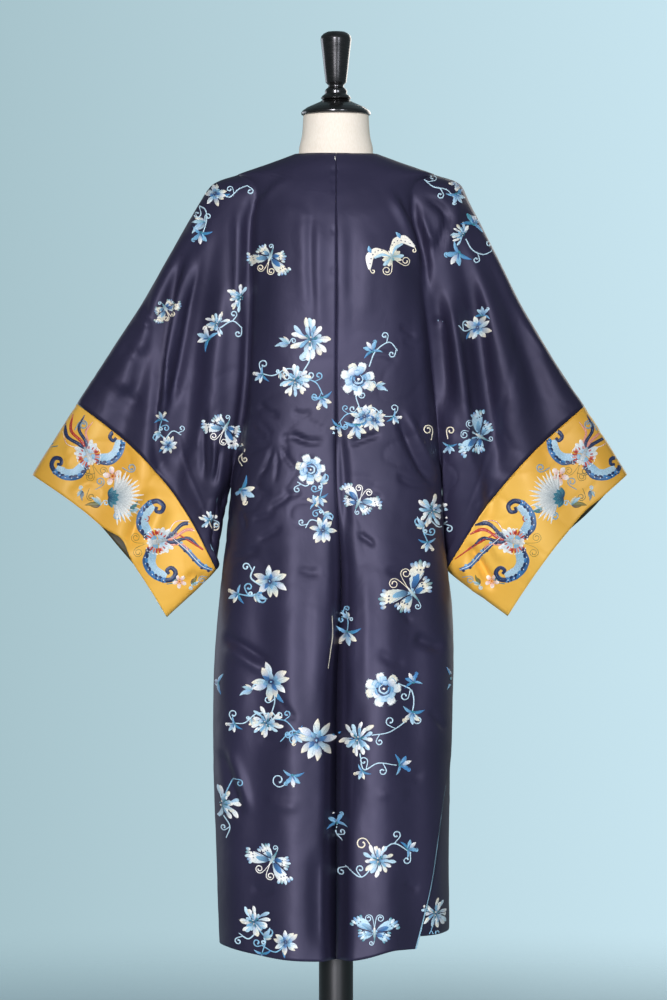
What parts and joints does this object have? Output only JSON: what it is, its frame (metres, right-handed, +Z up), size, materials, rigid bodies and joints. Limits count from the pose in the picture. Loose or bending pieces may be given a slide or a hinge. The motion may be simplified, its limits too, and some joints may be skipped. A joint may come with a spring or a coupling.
{
  "type": "chinese style satin robe on dress form",
  "caption": "Collarless satin robe in Chinese cut with wide embroidered sleeve bands and side slits, standing on a limbless dress form.",
  "frame": {"origin": "centre of the flat underside of the stand's base, on the floor", "axes": "+Z up the pole; the robe's front faces -Y; +X is the wearer's left"},
  "size_m": [0.923, 0.37, 1.6411],
  "materials": {
    "satin_aubergine": "lined silk satin with soft sheen",
    "satin_gold": "gold silk satin, embroidered",
    "silk_light_blue": "plain light blue lining silk",
    "jersey_cream": "cotton jersey drawn smooth over the bust",
    "turned_wood_black": "turned beech in black lacquer",
    "painted_steel_black": "dark satin paint"
  },
  "bodies": {
    "root": {"back_left": "satin_aubergine", "back_right": "satin_aubergine", "front_left": "satin_aubergine", "front_right": "satin_aubergine", "sleeve_left_upper": "satin_aubergine", "sleeve_right_upper": "satin_aubergine", "sleeve_left_lower": "satin_aubergine", "sleeve_right_lower": "satin_aubergine", "band_left": "satin_gold", "band_right": "satin_gold", "slit_facing_back_left": "silk_light_blue", "slit_facing_back_right": "silk_light_blue", "slit_facing_front_left": "silk_light_blue", "slit_facing_front_right": "silk_light_blue", "form_torso": "jersey_cream", "form_cap": "turned_wood_black", "form_finial": "turned_wood_black", "stand_pole": "painted_steel_black", "stand_base": "painted_steel_black"}
  },
  "joints": []
}
